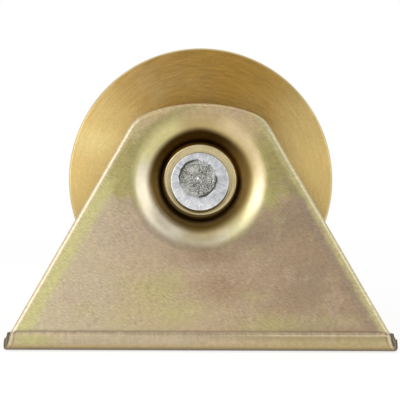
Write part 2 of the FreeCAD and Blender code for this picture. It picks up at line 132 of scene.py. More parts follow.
def rounded(corners, hold=0.07):
    """Outline through corners (r, y, radius), as an array of corners by points by (r, y).

    Each corner becomes an arc between its two tangent points, turned from the start direction to
    the end direction at an even rate. One more point stands on the straight run at each end of the
    arc, so that smooth shading stays inside the corner. The outline closes on itself.
    """
    data = np.array(corners, dtype=float)
    corner = data[:, :2]
    radius = data[:, 2:]
    back = np.roll(corner, 1, axis=0) - corner
    ahead = np.roll(corner, -1, axis=0) - corner
    back /= np.linalg.norm(back, axis=1, keepdims=True)
    ahead /= np.linalg.norm(ahead, axis=1, keepdims=True)
    half = np.arccos(np.sum(back * ahead, axis=1, keepdims=True)) / 2
    run = radius / np.tan(half)
    middle = back + ahead
    middle /= np.linalg.norm(middle, axis=1, keepdims=True)
    centre = corner + middle * radius / np.sin(half)
    start = (corner + back * run - centre)[:, None]
    end = (corner + ahead * run - centre)[:, None]
    sweep = (math.pi - 2 * half)[:, None]
    share = np.linspace(0, 1, ARC_POINTS)[None, :, None]
    swing = start * np.sin((1 - share) * sweep) + end * np.sin(share * sweep)
    arc = centre[:, None] + swing / np.sin(sweep)
    before = (corner + back * (run + hold))[:, None]
    after = (corner + ahead * (run + hold))[:, None]
    return np.concatenate([before, arc, after], axis=1)


def resampled(outline, pitch):
    """Points at an even pitch along an open outline, found by its running length."""
    steps = np.linalg.norm(np.diff(outline, axis=0), axis=1)
    length = np.concatenate([[0], np.cumsum(steps)])
    places = np.linspace(0, length[-1], int(length[-1] / pitch) + 2)
    return np.column_stack([np.interp(places, length, outline[:, k]) for k in (0, 1)])


def turned_grid(outline, steps):
    """Grid of an outline turned about the axle: (r, y) at the angle t goes to (r cos t, y, r sin t)."""
    t = np.linspace(0, 2 * math.pi, steps, endpoint=False)
    r = outline[:, :1]
    y = np.broadcast_to(outline[:, 1:], (len(outline), steps))
    return np.stack([r * np.cos(t), y, r * np.sin(t)], axis=-1)


def grid_faces(rows, columns, wrap_rows):
    """Four-sided faces of a grid that closes along its columns, and along its rows if asked."""
    i = np.arange(rows if wrap_rows else rows - 1)[:, None]
    j = np.arange(columns)[None, :]
    low = i * columns
    high = (i + 1) % rows * columns
    beside = (j + 1) % columns
    return np.stack([low + j, low + beside, high + beside, high + j], axis=-1).reshape(-1, 4)


def smooth_piece(name, points, faces):
    """Smooth mesh from points round the middle of the axle, and arrays of faces.

    The sum of the triple products of the faces is the volume, and its sign turns them outwards.
    """
    fans = np.concatenate([f[:, [0, k, k + 1]] for f in faces for k in range(1, f.shape[1] - 1)])
    a, b, c = (points[fans[:, k]] for k in range(3))
    if np.sum(a * np.cross(b, c)) < 0:
        faces = [f[:, ::-1] for f in faces]
    placed = (points + (0, 0, AXLE_HEIGHT)) * MM
    mesh = bpy.data.meshes.new(name)
    mesh.from_pydata(placed.tolist(), [], [row for f in faces for row in f.tolist()])
    mesh.shade_smooth()
    piece = bpy.data.objects.new(name, mesh)
    bpy.context.scene.collection.objects.link(piece)
    return piece


def turned_ring(name, corners, steps):
    """Ring turned about the axle from a closed outline of corners (r, y, radius)."""
    outline = rounded(corners).reshape(-1, 2)
    points = turned_grid(outline, steps).reshape(-1, 3)
    return smooth_piece(name, points, [grid_faces(len(outline), steps, True)])


def grain(u, v, pitch, seed):
    """Smooth random heights from -1 to 1.

    Random values stand on a square lattice of the given pitch, and between them the height follows
    a smoothstep blend of the four nearest.
    """
    size = 128
    table = np.random.default_rng(seed).uniform(-1, 1, (size, size))
    i, share_u = np.divmod(u / pitch, 1)
    j, share_v = np.divmod(v / pitch, 1)
    i = i.astype(int) % size
    j = j.astype(int) % size
    share_u = share_u * share_u * (3 - 2 * share_u)
    share_v = share_v * share_v * (3 - 2 * share_v)
    next_i = (i + 1) % size
    next_j = (j + 1) % size
    low = table[i, j] * (1 - share_u) + table[next_i, j] * share_u
    high = table[i, next_j] * (1 - share_u) + table[next_i, next_j] * share_u
    return low * (1 - share_v) + high * share_v


def bell(value, width):
    """Bell curve about zero: exp of minus the square of the value in widths."""
    return np.exp(-((value / width) ** 2))


def turn_from(angle, towards):
    """Difference of two angles, between -pi and pi."""
    return np.angle(np.exp(1j * (angle - towards)))


def head_relief(x, z, seed):
    """Height of a riveted head's face above its plain form.

    The core is a shallow recess of torn metal: three sizes of grain. The riveting tool has cut a
    groove round it, deep at the upper left and less so at the lower right. The rim has shallow
    strokes, and below one small dent. The middle has a prick.
    """
    r = np.hypot(x - CORE_ASIDE, z - CORE_RISE)
    angle = np.arctan2(z - CORE_RISE, x - CORE_ASIDE)
    core = 1 / (1 + np.exp((r - HEAD_CORE + 0.5) / 0.2))
    torn = 0.05 * grain(x, z, 3.1, seed) + 0.03 * grain(x, z, 0.8, seed + 1)
    torn += 0.075 * grain(x, z, 0.33, seed + 2)
    deep = bell(turn_from(angle, 2.6), 0.75) + 0.35 * bell(turn_from(angle, -0.95), 0.45)
    groove = -(0.02 + 0.35 * deep) * bell(r - HEAD_CORE + 0.2, 0.3)
    rim = 0.03 * (1 - core) * bell(np.hypot(x, z) - 8.9, 1.6)
    strokes = rim * grain(angle * 20, r * 0.4, 1.0, seed + 3)
    dent = -0.14 * bell(np.hypot(x - 0.55, z + 8.5), 0.26)
    prick = 0.12 * bell(r, 0.4)
    return core * (torn - 0.25) + groove + strokes + dent + prick


def pin_outline():
    """Outline of half the axle, from the middle of a head over its rim and down to mid shaft.

    Under the head, the pin flares into the washer's sunk edge. The head's face gets points at an
    even pitch, so that its relief can rise.
    """
    corners = rounded(
        [
            (0.0, HEAD_TOP, 0.0),
            (HEAD_RADIUS, HEAD_TOP, 0.4),
            (HEAD_RADIUS, WASHER_FACE + 0.02, 0.05),
            (PIN_RADIUS + PIN_FLARE, WASHER_FACE + 0.02, 0.02),
            (PIN_RADIUS, WASHER_FACE - PIN_FLARE, 0.1),
            (PIN_RADIUS, 0.0, 0.0),
            (0.0, 0.0, 0.0),
        ]
    )
    pole = corners[0, 1:2]
    face = resampled(np.concatenate([pole, corners[1]]), FACE_PITCH)
    return np.concatenate([face, corners[2:-2].reshape(-1, 2), corners[-2, 1:2]])


def axle_pin(steps=320):
    """Axle from the middle of one riveted head to the middle of the other.

    Half its outline and that half's mirror image are turned about the axle, and a fan closes each
    end. A head's face then rises by its relief. As the rivet spread unevenly, the head also shifts
    downwards, in proportion to how far it stands out.
    """
    half = pin_outline()
    outline = np.concatenate([half * (1, -1), half[-2::-1]])
    grid = turned_grid(outline[1:-1], steps)
    poles = np.array([[0, outline[0, 1], 0], [0, outline[-1, 1], 0]])
    points = np.concatenate([grid.reshape(-1, 3), poles])
    side = np.sign(points[:, 1])
    proud = np.clip((np.abs(points[:, 1]) - WASHER_FACE) / (HEAD_TOP - WASHER_FACE), 0, 1)
    points[:, 1] += side * proud * head_relief(points[:, 0], points[:, 2], 11)
    points[:, 2] -= HEAD_DROP * proud
    rows = len(outline) - 2
    ends = np.arange(steps)
    beside = (ends + 1) % steps
    first_fan = np.column_stack([np.full(steps, rows * steps), beside, ends])
    last = (rows - 1) * steps
    last_fan = np.column_stack([np.full(steps, rows * steps + 1), last + ends, last + beside])
    return smooth_piece("axle_pin_riveted", points, [grid_faces(rows, steps, False), first_fan, last_fan])


def washer(name, side):
    """Thick washer with rounded edges, in the floor of the dish on one side."""
    corners = [
        (WASHER_BORE, side * WASHER_FLOOR, 0.15),
        (WASHER_RADIUS, side * WASHER_FLOOR, 0.3),
        (WASHER_RADIUS, side * WASHER_FACE, 0.55),
        (WASHER_BORE + WASHER_SINK, side * WASHER_FACE, 0.1),
        (WASHER_BORE, side * (WASHER_FACE - WASHER_SINK), 0.1),
    ]
    return turned_ring(name, corners, 256)


def wheel():
    """Turned wheel: broad faces, broken edges, a V groove for the track and a stepped bore.

    The bore goes from a lip to the bearing's seat, which has a groove for the retaining ring.
    """
    half = WHEEL_HALF_WIDTH
    corners = [
        (SEAT_LIP, -half, 0.2),
        (WHEEL_RADIUS - 0.6, -half, 0.4),
        (WHEEL_RADIUS, -half + 0.6, 0.4),
        (WHEEL_RADIUS, -9.4, 0.3),
        (WHEEL_RADIUS - 0.4, -8.6, 0.3),
        (GROOVE_ROOT, -1.0, 0.8),
        (GROOVE_ROOT, 1.0, 0.8),
        (WHEEL_RADIUS - 0.4, 8.6, 0.3),
        (WHEEL_RADIUS, 9.4, 0.3),
        (WHEEL_RADIUS, half - 0.6, 0.4),
        (WHEEL_RADIUS - 0.6, half, 0.4),
        (BEARING_SEAT + 0.5, half, 0.1),
        (BEARING_SEAT, half - 0.5, 0.1),
        (BEARING_SEAT, RING_GROOVE_END, 0.05),
        (RING_GROOVE, RING_GROOVE_END, 0.05),
        (RING_GROOVE, BEARING_HALF_WIDTH, 0.05),
        (BEARING_SEAT, BEARING_HALF_WIDTH, 0.05),
        (BEARING_SEAT, -BEARING_HALF_WIDTH, 0.05),
        (SEAT_LIP, -BEARING_HALF_WIDTH, 0.2),
    ]
    return turned_ring("wheel_turned", corners, 360)


def camera():
    """Camera at the photograph's place, level from side to side."""
    data = bpy.data.cameras.new("camera")
    data.lens = LENS
    data.sensor_width = SENSOR
    data.clip_start = 0.01
    data.clip_end = 30.0
    eye = bpy.data.objects.new("camera", data)
    eye.location = CAMERA_PLACE
    eye.rotation_euler = (CAMERA_TARGET - CAMERA_PLACE).to_track_quat("-Z", "Y").to_euler()
    bpy.context.scene.collection.objects.link(eye)
    bpy.context.scene.camera = eye


def softbox(name, azimuth, elevation, size, radiance):
    """Rectangular softbox that faces the axle. Its power is pi times its area times its radiance."""
    middle = Vector((0, 0, AXLE_HEIGHT * MM))
    turn = math.radians(azimuth)
    rise = math.radians(elevation)
    way = Vector((math.sin(turn) * math.cos(rise), -math.cos(turn) * math.cos(rise), math.sin(rise)))
    data = bpy.data.lights.new(name, "AREA")
    data.shape = "RECTANGLE"
    data.size, data.size_y = size
    data.energy = math.pi * size[0] * size[1] * radiance
    box = bpy.data.objects.new(name, data)
    box.location = middle + way * SOFTBOX_DISTANCE
    box.rotation_euler = (-way).to_track_quat("-Z", "Y").to_euler()
    box.visible_camera = False
    bpy.context.scene.collection.objects.link(box)


def softboxes():
    """Two large softboxes in front, the left one brighter, and a weak one above."""
    softbox("left_softbox", -46, 4, (1.15, 1.0), 2.1)
    softbox("right_softbox", 48, 0, (1.05, 1.0), 1.35)
    softbox("top_softbox", 0, 52, (1.1, 0.8), 0.48)


class Shading:
    """Nodes of one material or world. Most calls make a node and give back its output."""

    def __init__(self, tree):
        self.tree = tree

    def node(self, kind, **settings):
        node = self.tree.nodes.new(kind)
        for key, value in settings.items():
            setattr(node, key, value)
        return node

    def feed(self, socket, value):
        """Link another node's output to a socket, or set the socket's number or tint."""
        if isinstance(value, bpy.types.NodeSocket):
            self.tree.links.new(value, socket)
        else:
            socket.default_value = (*value, 1) if socket.type == "RGBA" else value

    def fed(self, kind, *values, **settings):
        """New node with values for its first inputs."""
        node = self.node(kind, **settings)
        for socket, value in zip(node.inputs, values):
            self.feed(socket, value)
        return node

    def maths(self, operation, *values, clamp=False):
        return self.fed("ShaderNodeMath", *values, operation=operation, use_clamp=clamp).outputs[0]

    def add(self, a, b):
        return self.maths("ADD", a, b)

    def times(self, a, b):
        return self.maths("MULTIPLY", a, b)

    def absolute(self, value):
        """The value without its sign."""
        return self.maths("ABSOLUTE", value)

    def opposite(self, share):
        """What a share leaves of one."""
        return self.maths("SUBTRACT", 1.0, share)

    def parts(self, vector):
        return self.fed("ShaderNodeSeparateXYZ", vector).outputs

    def length(self, vector):
        return self.fed("ShaderNodeVectorMath", vector, operation="LENGTH").outputs["Value"]

    def step(self, value, low, high):
        """Smooth step from 0 at low to 1 at high. High may be the lower of the two."""
        return self.fed("ShaderNodeMapRange", value, low, high, interpolation_type="SMOOTHSTEP").outputs[0]


def mirrored_rays(shading):
    """One for glossy and transmission rays, which see the background in or through the object."""
    path = shading.node("ShaderNodeLightPath").outputs
    return shading.maths("ADD", path["Is Glossy Ray"], path["Is Transmission Ray"], clamp=True)


def camera_rays(shading):
    return shading.node("ShaderNodeLightPath").outputs["Is Camera Ray"]


def studio():
    """World: white behind the object and all round for the camera, and a dim room in front of it."""
    sky = bpy.data.worlds.new("studio")
    sky.use_nodes = True
    sky.node_tree.nodes.clear()
    shading = Shading(sky.node_tree)
    y = shading.parts(shading.node("ShaderNodeTexCoord").outputs["Generated"])["Y"]
    mirrored = shading.times(mirrored_rays(shading), shading.step(y, -0.7, -0.05))
    white = shading.maths("ADD", mirrored, camera_rays(shading), clamp=True)
    strength = shading.add(shading.times(white, 1.0 - ROOM_LIGHT), ROOM_LIGHT)
    room = shading.fed("ShaderNodeBackground", WHITE, strength)
    shading.fed("ShaderNodeOutputWorld", room.outputs[0])
    bpy.context.scene.world = sky


def pale_floor():
    """Floor's material. It lights the object as a light grey floor does.

    Rays that see it find it half lit, so that it keeps the shadow, and half white, and all white
    far away.
    """
    material = bpy.data.materials.new("pale_floor")
    material.use_nodes = True
    material.node_tree.nodes.clear()
    shading = Shading(material.node_tree)
    away = shading.length(shading.node("ShaderNodeTexCoord").outputs["Object"])
    past = shading.times(shading.add(away, -FLOOR_WHITE_FROM), 1 / (FLOOR_WHITE_TO - FLOOR_WHITE_FROM))
    far = shading.maths("ADD", past, 0.0, clamp=True)
    lit = shading.fed("ShaderNodeBsdfDiffuse", (0.45, 0.45, 0.45)).outputs[0]
    glow = shading.fed("ShaderNodeEmission", WHITE, FLOOR_GLOW).outputs[0]
    near = shading.fed("ShaderNodeAddShader", lit, glow).outputs[0]
    white = shading.fed("ShaderNodeEmission", WHITE, 1.0).outputs[0]
    shown = shading.fed("ShaderNodeMixShader", far, near, white).outputs[0]
    light_grey = shading.fed("ShaderNodeBsdfDiffuse", (0.8, 0.8, 0.8)).outputs[0]
    seen = shading.maths("ADD", mirrored_rays(shading), camera_rays(shading), clamp=True)
    both = shading.fed("ShaderNodeMixShader", seen, light_grey, shown).outputs[0]
    shading.fed("ShaderNodeOutputMaterial", both)
    return material


def floor():
    """Wide floor under the base."""
    side = FLOOR_HALF_SIDE
    sheet = bpy.data.meshes.new("floor")
    corners = [(-side, -side, 0), (side, -side, 0), (side, side, 0), (-side, side, 0)]
    sheet.from_pydata(corners, [], [(0, 1, 2, 3)])
    sheet.materials.append(pale_floor())
    ground = bpy.data.objects.new("floor", sheet)
    bpy.context.scene.collection.objects.link(ground)


class Finish(Shading):
    """Node material of one metal.

    Its patterns are worked out from the place on the piece, in millimetres from the middle of the
    axle: x to the right, y along the axle and z up. The radius is the distance from the axle's line.
    """

    def __init__(self, name, roughness):
        self.material = bpy.data.materials.new(name)
        self.material.use_nodes = True
        super().__init__(self.material.node_tree)
        self.shader = self.tree.nodes["Principled BSDF"]
        self.shader.inputs["Metallic"].default_value = 1.0
        self.shader.inputs["Roughness"].default_value = roughness
        centred = self.fed("ShaderNodeMapping", self.node("ShaderNodeTexCoord").outputs["Object"])
        centred.inputs["Location"].default_value = (0, 0, -AXLE_HEIGHT)
        centred.inputs["Scale"].default_value = (1 / MM, 1 / MM, 1 / MM)
        self.place = centred.outputs["Vector"]
        self.x, self.y, self.z = self.parts(self.place)
        self.radius = self.reach(self.x, self.z)

    def vector(self, x, y, z):
        return self.fed("ShaderNodeCombineXYZ", x, y, z).outputs[0]

    def reach(self, x, z):
        """Length of a stretch that goes so far across and so far up."""
        return self.length(self.vector(x, 0.0, z))

    def band(self, value, middle, width):
        """One at the middle and nought a width away on both sides."""
        return self.step(self.absolute(self.add(value, -middle)), width, 0.0)

    def spot(self, x, z, across, up, warp=0.0):
        """Soft oval about a place, one at its middle and nought at its rim."""
        side = self.times(self.add(self.x, -x), 1 / across)
        rise = self.times(self.add(self.z, -z), 1 / up)
        return self.step(self.add(self.reach(side, rise), warp), 1.0, 0.0)

    def noise(self, per_mm, detail=2.0, place=None):
        """Noise about nought, from about -0.5 to 0.5, with so many features to a millimetre."""
        node = self.fed("ShaderNodeTexNoise", place or self.place)
        node.inputs["Scale"].default_value = per_mm
        node.inputs["Detail"].default_value = detail
        return self.add(node.outputs["Fac"], -0.5)

    def leaning(self, angle, along, across):
        """Place turned by an angle in the plane of the side, with its own scale in each direction."""
        turn = self.fed("ShaderNodeMapping", self.place)
        turn.inputs["Rotation"].default_value = (0, math.radians(angle), 0)
        size = self.fed("ShaderNodeMapping", turn.outputs["Vector"])
        size.inputs["Scale"].default_value = (along, 1.0, across)
        return size.outputs["Vector"]

    def shifted(self, distance):
        """Place moved away, where the same noise is another one."""
        move = (distance, distance, distance)
        return self.fed("ShaderNodeVectorMath", self.place, move, operation="ADD").outputs[0]

    def mix(self, share, a, b):
        """Tint between two others: the second where the share is one."""
        node = self.node("ShaderNodeMix", data_type="RGBA")
        self.feed(node.inputs[0], share)
        self.feed(node.inputs[6], a)
        self.feed(node.inputs[7], b)
        return node.outputs[2]

    def wash(self, tint, share, strength, other):
        """Tint with so much of another one laid over it."""
        return self.mix(self.times(share, strength), tint, other)

    def washes(self, tint, clouds, warp):
        """Tint with a table of soft ovals laid over it, their rims moved by a warp."""
        for x, z, across, up, strength, other in clouds:
            tint = self.wash(tint, self.spot(x, z, across, up, warp), strength, other)
        return tint

    def shaded(self, tint, amount):
        """Tint times one plus an amount."""
        node = self.fed("ShaderNodeVectorMath", tint, operation="SCALE")
        self.feed(node.inputs["Scale"], self.add(amount, 1.0))
        return node.outputs[0]

    def rounds(self, per_mm, detail=2.0, turn=0.6):
        """Noise that runs round the axle: its place is the radius, and the direction on a small circle."""
        shrunk = self.maths("DIVIDE", turn, self.radius)
        around = self.vector(self.radius, self.times(self.x, shrunk), self.times(self.z, shrunk))
        return self.noise(per_mm, detail, around)

    def spokes(self, per_mm, detail, circle):
        """Noise in strokes away from the middle: its place goes round a circle of this radius."""
        around_x = self.times(self.maths("DIVIDE", self.x, self.radius), circle)
        around_z = self.times(self.maths("DIVIDE", self.z, self.radius), circle)
        return self.noise(per_mm, detail, self.vector(around_x, self.times(self.radius, 0.25), around_z))

    def brushed_round(self, amount):
        """Stretch highlights across the turning marks, which run round the axle."""
        marks = self.node("ShaderNodeTangent", direction_type="RADIAL", axis="Y")
        self.feed(self.shader.inputs["Tangent"], marks.outputs[0])
        self.shader.inputs["Anisotropic"].default_value = amount
        self.shader.inputs["Anisotropic Rotation"].default_value = 0.25

    def relief(self, height):
        """Bump from a height in millimetres."""
        node = self.node("ShaderNodeBump")
        node.inputs["Distance"].default_value = MM
        self.feed(node.inputs["Height"], height)
        self.feed(self.shader.inputs["Normal"], node.outputs[0])

    def base(self, tint):
        self.feed(self.shader.inputs["Base Color"], tint)

    def rough(self, value):
        self.feed(self.shader.inputs["Roughness"], value)


def clouded(finish, tint):
    """Faint pink and green clouds, as the film's thickness changes from place to place."""
    pink = finish.step(finish.noise(0.13, 4.0, finish.shifted(31.0)), 0.0, 0.22)
    green = finish.step(finish.noise(0.10, 4.0, finish.shifted(77.0)), 0.04, 0.24)
    tint = finish.wash(tint, pink, 0.4, (0.51, 0.375, 0.28))
    return finish.wash(tint, green, 0.4, (0.47, 0.42, 0.20))


def side_zones(finish, warp, fine_warp):
    """Tints of the yellow passivation over the sides: beige, brown, mauve and olive clouds."""
    x = finish.add(finish.x, finish.times(warp, 40.0))
    tint = finish.mix(finish.step(x, -62.0, -8.0), (0.535, 0.45, 0.30), (0.50, 0.38, 0.245))
    tint = finish.mix(finish.step(x, -2.0, 42.0), tint, (0.37, 0.265, 0.17))
    tint = finish.washes(tint, SIDE_CLOUDS, finish.times(warp, 1.4))
    return clouded(finish, upper_zones(finish, tint, warp, fine_warp))


def upper_zones(finish, tint, warp, fine_warp):
    """Olive at both sides of the dish, yellow-green at its lower right, and a golden crown."""
    olive = finish.mix(finish.step(finish.x, -15.0, 15.0), (0.37, 0.325, 0.115), (0.38, 0.33, 0.125))
    above = finish.step(finish.add(finish.z, finish.times(fine_warp, 5.0)), -7.0, -4.0)
    tint = finish.wash(tint, above, 0.9, olive)
    beside_dish = finish.spot(25.0, -6.5, 7.0, 6.0)
    tint = finish.wash(tint, beside_dish, 0.8, (0.46, 0.44, 0.15))
    crown = finish.step(finish.add(finish.z, finish.times(warp, 14.0)), 12.0, 23.0)
    tint = finish.mix(crown, tint, (0.55, 0.42, 0.23))
    crown_left = finish.spot(-24.0, 20.0, 9.0, 8.0)
    return finish.wash(tint, crown_left, 0.6, (0.48, 0.40, 0.21))


def leg_distance(finish):
    """Distance from the nearer slanted edge of a side, measured square to it."""
    edge = finish.add(LEG_FOOT - LEG_LEAN * AXLE_HEIGHT, finish.times(finish.z, -LEG_LEAN))
    inwards = finish.maths("SUBTRACT", edge, finish.absolute(finish.x))
    return finish.times(inwards, 1 / math.hypot(1, LEG_LEAN))


def leg_bands(finish, tint, warp):
    """Yellow-green bands along the slanted edges, broad at the left and narrow at the right.

    The left one has an orange line in it, and a mauve band lies inside the right one. The rolled-over edge
    itself is paler, a painted highlight, most at the left.
    """
    distance = leg_distance(finish)
    inside = finish.add(distance, finish.times(warp, 2.5))
    right = finish.step(finish.x, -10.0, 10.0)
    left = finish.opposite(right)
    low = finish.step(finish.z, 6.0, -4.0)
    broad = finish.times(finish.times(finish.step(inside, 8.5, 4.0), left), low)
    tint = finish.wash(tint, broad, 0.85, (0.55, 0.515, 0.225))
    orange = finish.times(finish.band(inside, 1.9, 1.2), left)
    tint = finish.wash(tint, orange, 0.5, (0.58, 0.48, 0.24))
    mauve = finish.times(finish.times(finish.band(inside, 4.6, 2.8), right), low)
    tint = finish.wash(tint, mauve, 0.5, (0.31, 0.24, 0.18))
    narrow = finish.times(finish.step(inside, 4.0, 1.8), right)
    tint = finish.wash(tint, narrow, 0.9, (0.52, 0.47, 0.22))
    # Painted highlight: the rolled-over edge is paler, most at the left.
    pale = finish.mix(right, (0.58, 0.48, 0.335), (0.50, 0.44, 0.27))
    return finish.wash(tint, finish.step(distance, 2.7, 1.0), 0.9, pale)


def leftward(finish):
    """From nought at the middle of the dish to one at its left."""
    return finish.step(finish.add(finish.times(finish.x, -1.0), finish.times(finish.z, 0.3)), 4.0, 16.0)


def low_right(finish):
    """From nought at the middle of the dish to one at its lower right."""
    return finish.step(finish.maths("MINIMUM", finish.x, finish.times(finish.z, -1.0)), 4.0, 14.0)


def away_from_sides(finish, upright, low, high):
    """Step in a height, less one and a half times the distance to the left or the right."""
    return finish.step(finish.add(upright, finish.times(finish.absolute(finish.x), -1.5)), low, high)


def dish_shoulder(finish, radius):
    """Tint of the stretched shoulder, partly its paler film and partly painted highlight: pinkish, gold
    above, yellow-green at two sides, and dimmer at the top and the bottom, a painted shade.
    """
    warm = finish.step(finish.add(finish.z, finish.times(finish.x, 0.3)), -2.0, 18.0)
    # The pale shoulder is partly painted highlight.
    shoulder = finish.mix(warm, (0.65, 0.58, 0.44), (0.64, 0.50, 0.285))
    # Painted highlight at the lower right: paler inside and darker outside.
    highlight_graded = finish.mix(finish.step(radius, 20.3, 23.2), (0.66, 0.60, 0.34), (0.46, 0.425, 0.245))
    shoulder = finish.mix(low_right(finish), shoulder, highlight_graded)
    upper_left = finish.times(leftward(finish), finish.step(finish.z, 2.0, 12.0))
    shoulder = finish.wash(shoulder, upper_left, 0.8, (0.60, 0.55, 0.24))
    # Painted shade: dimmer at the top and the bottom of the shoulder.
    dull = finish.mix(finish.step(radius, 20.0, 23.5), (0.42, 0.355, 0.215), (0.56, 0.49, 0.32))
    dull = finish.mix(warm, dull, (0.46, 0.345, 0.165))
    level = away_from_sides(finish, finish.absolute(finish.z), 3.0, 16.0)
    return finish.mix(level, shoulder, dull)


def dish_rings(finish, tint, radius):
    """Rings round the shoulder.

    They are green at the left and the lower right, olive at the upper left and golden brown on top.
    """
    beside = finish.times(leftward(finish), finish.step(finish.z, -14.0, -4.0))
    tint = finish.wash(tint, finish.times(finish.band(radius, 24.4, 2.2), beside), 0.9, (0.47, 0.43, 0.19))
    outer = finish.times(leftward(finish), finish.step(finish.z, 4.0, 14.0))
    tint = finish.wash(tint, finish.times(finish.band(radius, 26.3, 2.4), outer), 0.8, (0.36, 0.31, 0.135))
    top = away_from_sides(finish, finish.z, 5.0, 18.0)
    tint = finish.mix(finish.times(finish.band(radius, 24.4, 2.0), top), tint, (0.45, 0.335, 0.175))
    green = finish.times(finish.band(radius, 24.6, 1.6), low_right(finish))
    return finish.wash(tint, green, 0.7, (0.42, 0.37, 0.19))


def dish_wall(finish, upper):
    """Tint of the steep wall, painted shade and reflection: brown, deepest at the top, and lighter at the
    right and in a low band.
    """
    # Painted shade: darkest at the top of the wall, where it faces down.
    wall = finish.mix(upper, (0.235, 0.145, 0.034), (0.068, 0.032, 0.003))
    # Painted reflection: lighter at the right and in a low band.
    lit_right_wall = finish.times(finish.step(finish.x, 2.0, 14.0), finish.step(finish.z, 18.0, 3.0))
    wall = finish.wash(wall, lit_right_wall, 0.85, (0.34, 0.225, 0.07))
    lit_low_band = finish.times(finish.band(finish.radius, 15.9, 1.1), finish.step(finish.z, 9.0, -3.0))
    return finish.wash(wall, lit_low_band, 0.7, (0.42, 0.30, 0.12))


def past_wall(finish, upper):
    """Distance outside the wall's top, which lies nearer to the axle on the diagonals."""
    diagonal = finish.maths("MINIMUM", finish.absolute(finish.x), finish.absolute(finish.z))
    top = finish.add(finish.add(finish.times(upper, 0.9), 18.85), finish.times(diagonal, -0.055))
    top = finish.add(top, finish.times(finish.step(finish.x, 10.0, 18.0), 0.5))
    return finish.maths("SUBTRACT", finish.radius, top)


def outer_side(finish):
    """One where the sheet faces away from the wheel, and nought where it faces the wheel."""
    facing = finish.parts(finish.node("ShaderNodeNewGeometry").outputs["Normal"])["Y"]
    return finish.step(finish.times(facing, finish.maths("SIGN", finish.y)), -0.1, 0.1)


def dish_tints(finish, tint, warp):
    """Outer side of the dish: a pale shoulder, partly painted highlight, over a brown wall of painted
    shade and reflection, and a dark crevice of painted shade round the washer.
    """
    radius = finish.add(finish.radius, finish.times(warp, 2.0))
    dish = finish.mix(finish.step(radius, 25.4, 22.4), tint, dish_shoulder(finish, radius))
    dish = dish_rings(finish, dish, radius)
    upper = finish.step(finish.z, -6.0, 15.0)
    outwards = past_wall(finish, upper)
    gold = finish.times(finish.step(outwards, 3.0, 0.0), finish.step(finish.x, -8.0, 8.0))
    dish = finish.wash(dish, gold, 0.7, (0.52, 0.40, 0.16))
    dish = finish.mix(finish.step(outwards, 1.0, -1.6), dish, dish_wall(finish, upper))
    # Painted shade: nearly black in the crevice round the washer.
    dish = finish.mix(finish.step(finish.radius, 15.0, 14.3), dish, (0.10, 0.055, 0.01))
    return finish.mix(outer_side(finish), tint, dish)


def bend_band(finish, height, wavy):
    """Bend's tints: greener at the left end, then mauve, and duller towards the right, partly a painted
    shade.

    Upright streaks run over it, most of all along its top. Its foot is browner, a painted shade where the
    bend turns down, and dark, a painted shadow, where the rounded side of the sheet turns under.
    """
    streaks = finish.noise(1.0, 3.0, finish.leaning(0, 1.0, 0.08))
    bend = finish.mix(finish.step(finish.x, -58.0, -48.0), (0.50, 0.46, 0.22), (0.52, 0.42, 0.285))
    bend = finish.mix(finish.step(finish.x, -64.0, -69.0), bend, (0.53, 0.45, 0.26))
    bend = finish.mix(finish.step(finish.x, -15.0, 45.0), bend, (0.47, 0.375, 0.205))
    bend = clouded(finish, finish.shaded(bend, finish.times(streaks, 0.3)))
    # Painted shade: browner at the foot of the bend.
    bend = finish.mix(finish.step(height, 4.0, 1.8), bend, (0.48, 0.37, 0.185))
    # Painted shade: a duller band along the bend, towards the right.
    duller = finish.times(finish.band(height, 5.8, 1.9), finish.step(finish.x, -25.0, 30.0))
    bend = finish.shaded(bend, finish.times(duller, -0.15))
    striped = finish.shaded((0.45, 0.36, 0.235), finish.times(streaks, 0.7))
    bend = finish.mix(finish.step(wavy, 6.4, 6.9), bend, striped)
    rounded_side = finish.step(finish.absolute(finish.y), 17.5, 20.0)
    # Painted shadow: dark where the rounded side of the sheet turns under.
    foot = finish.times(finish.step(height, 2.5, 0.4), rounded_side)
    return finish.mix(foot, bend, (0.14, 0.10, 0.05))


def bend_lines(finish, tint, wavy):
    """Dark crease along the top of the bend, a painted shade, and under it a line of painted highlight,
    stronger towards the right.
    """
    # Painted shade along the crease.
    tint = finish.shaded(tint, finish.times(finish.band(wavy, CREASE_LINE, 0.8), -0.32))
    # Painted highlight: a dotted bright line under the crease.
    dots = finish.step(finish.noise(0.8, 3.0, finish.leaning(0, 1.0, 0.2)), -0.2, 0.1)
    at_ends = finish.step(finish.absolute(finish.add(finish.x, 6.0)), 8.0, 36.0)
    wear_and_glint = finish.times(finish.band(wavy, GLINT_LINE, 0.6), finish.times(finish.add(dots, 1.2), at_ends))
    rightward = finish.add(finish.times(finish.x, 0.0012), 0.14)
    return finish.shaded(tint, finish.times(wear_and_glint, rightward))


def bend_tints(finish, tint):
    """Bend with its lines, which curve down to its ends.

    The pale rolled-over edge of the sheet, a painted highlight, goes on over both ends, with a dark line
    inside it.
    """
    height = finish.add(finish.z, AXLE_HEIGHT)
    ends = finish.step(leg_distance(finish), 2.6, 0.4)
    wavy = finish.add(height, finish.times(finish.noise(0.2), 0.5))
    wavy = finish.add(wavy, finish.times(ends, 0.9))
    bend = bend_band(finish, height, wavy)
    tint = finish.mix(finish.step(height, BEND_TOP + 0.4, BEND_TOP - 0.4), tint, bend)
    tint = bend_lines(finish, tint, wavy)
    along_end = finish.band(height, 4.9, 4.2)
    beyond = beyond_ear(finish)
    dark = finish.times(finish.band(beyond, -1.9, 0.6), along_end)
    tint = finish.shaded(tint, finish.times(dark, -0.3))
    # Painted highlight: the pale rolled-over edge over the ends.
    rolled = finish.times(finish.band(beyond, -1.0, 0.65), along_end)
    return finish.wash(tint, rolled, 1.5, (0.66, 0.56, 0.40))


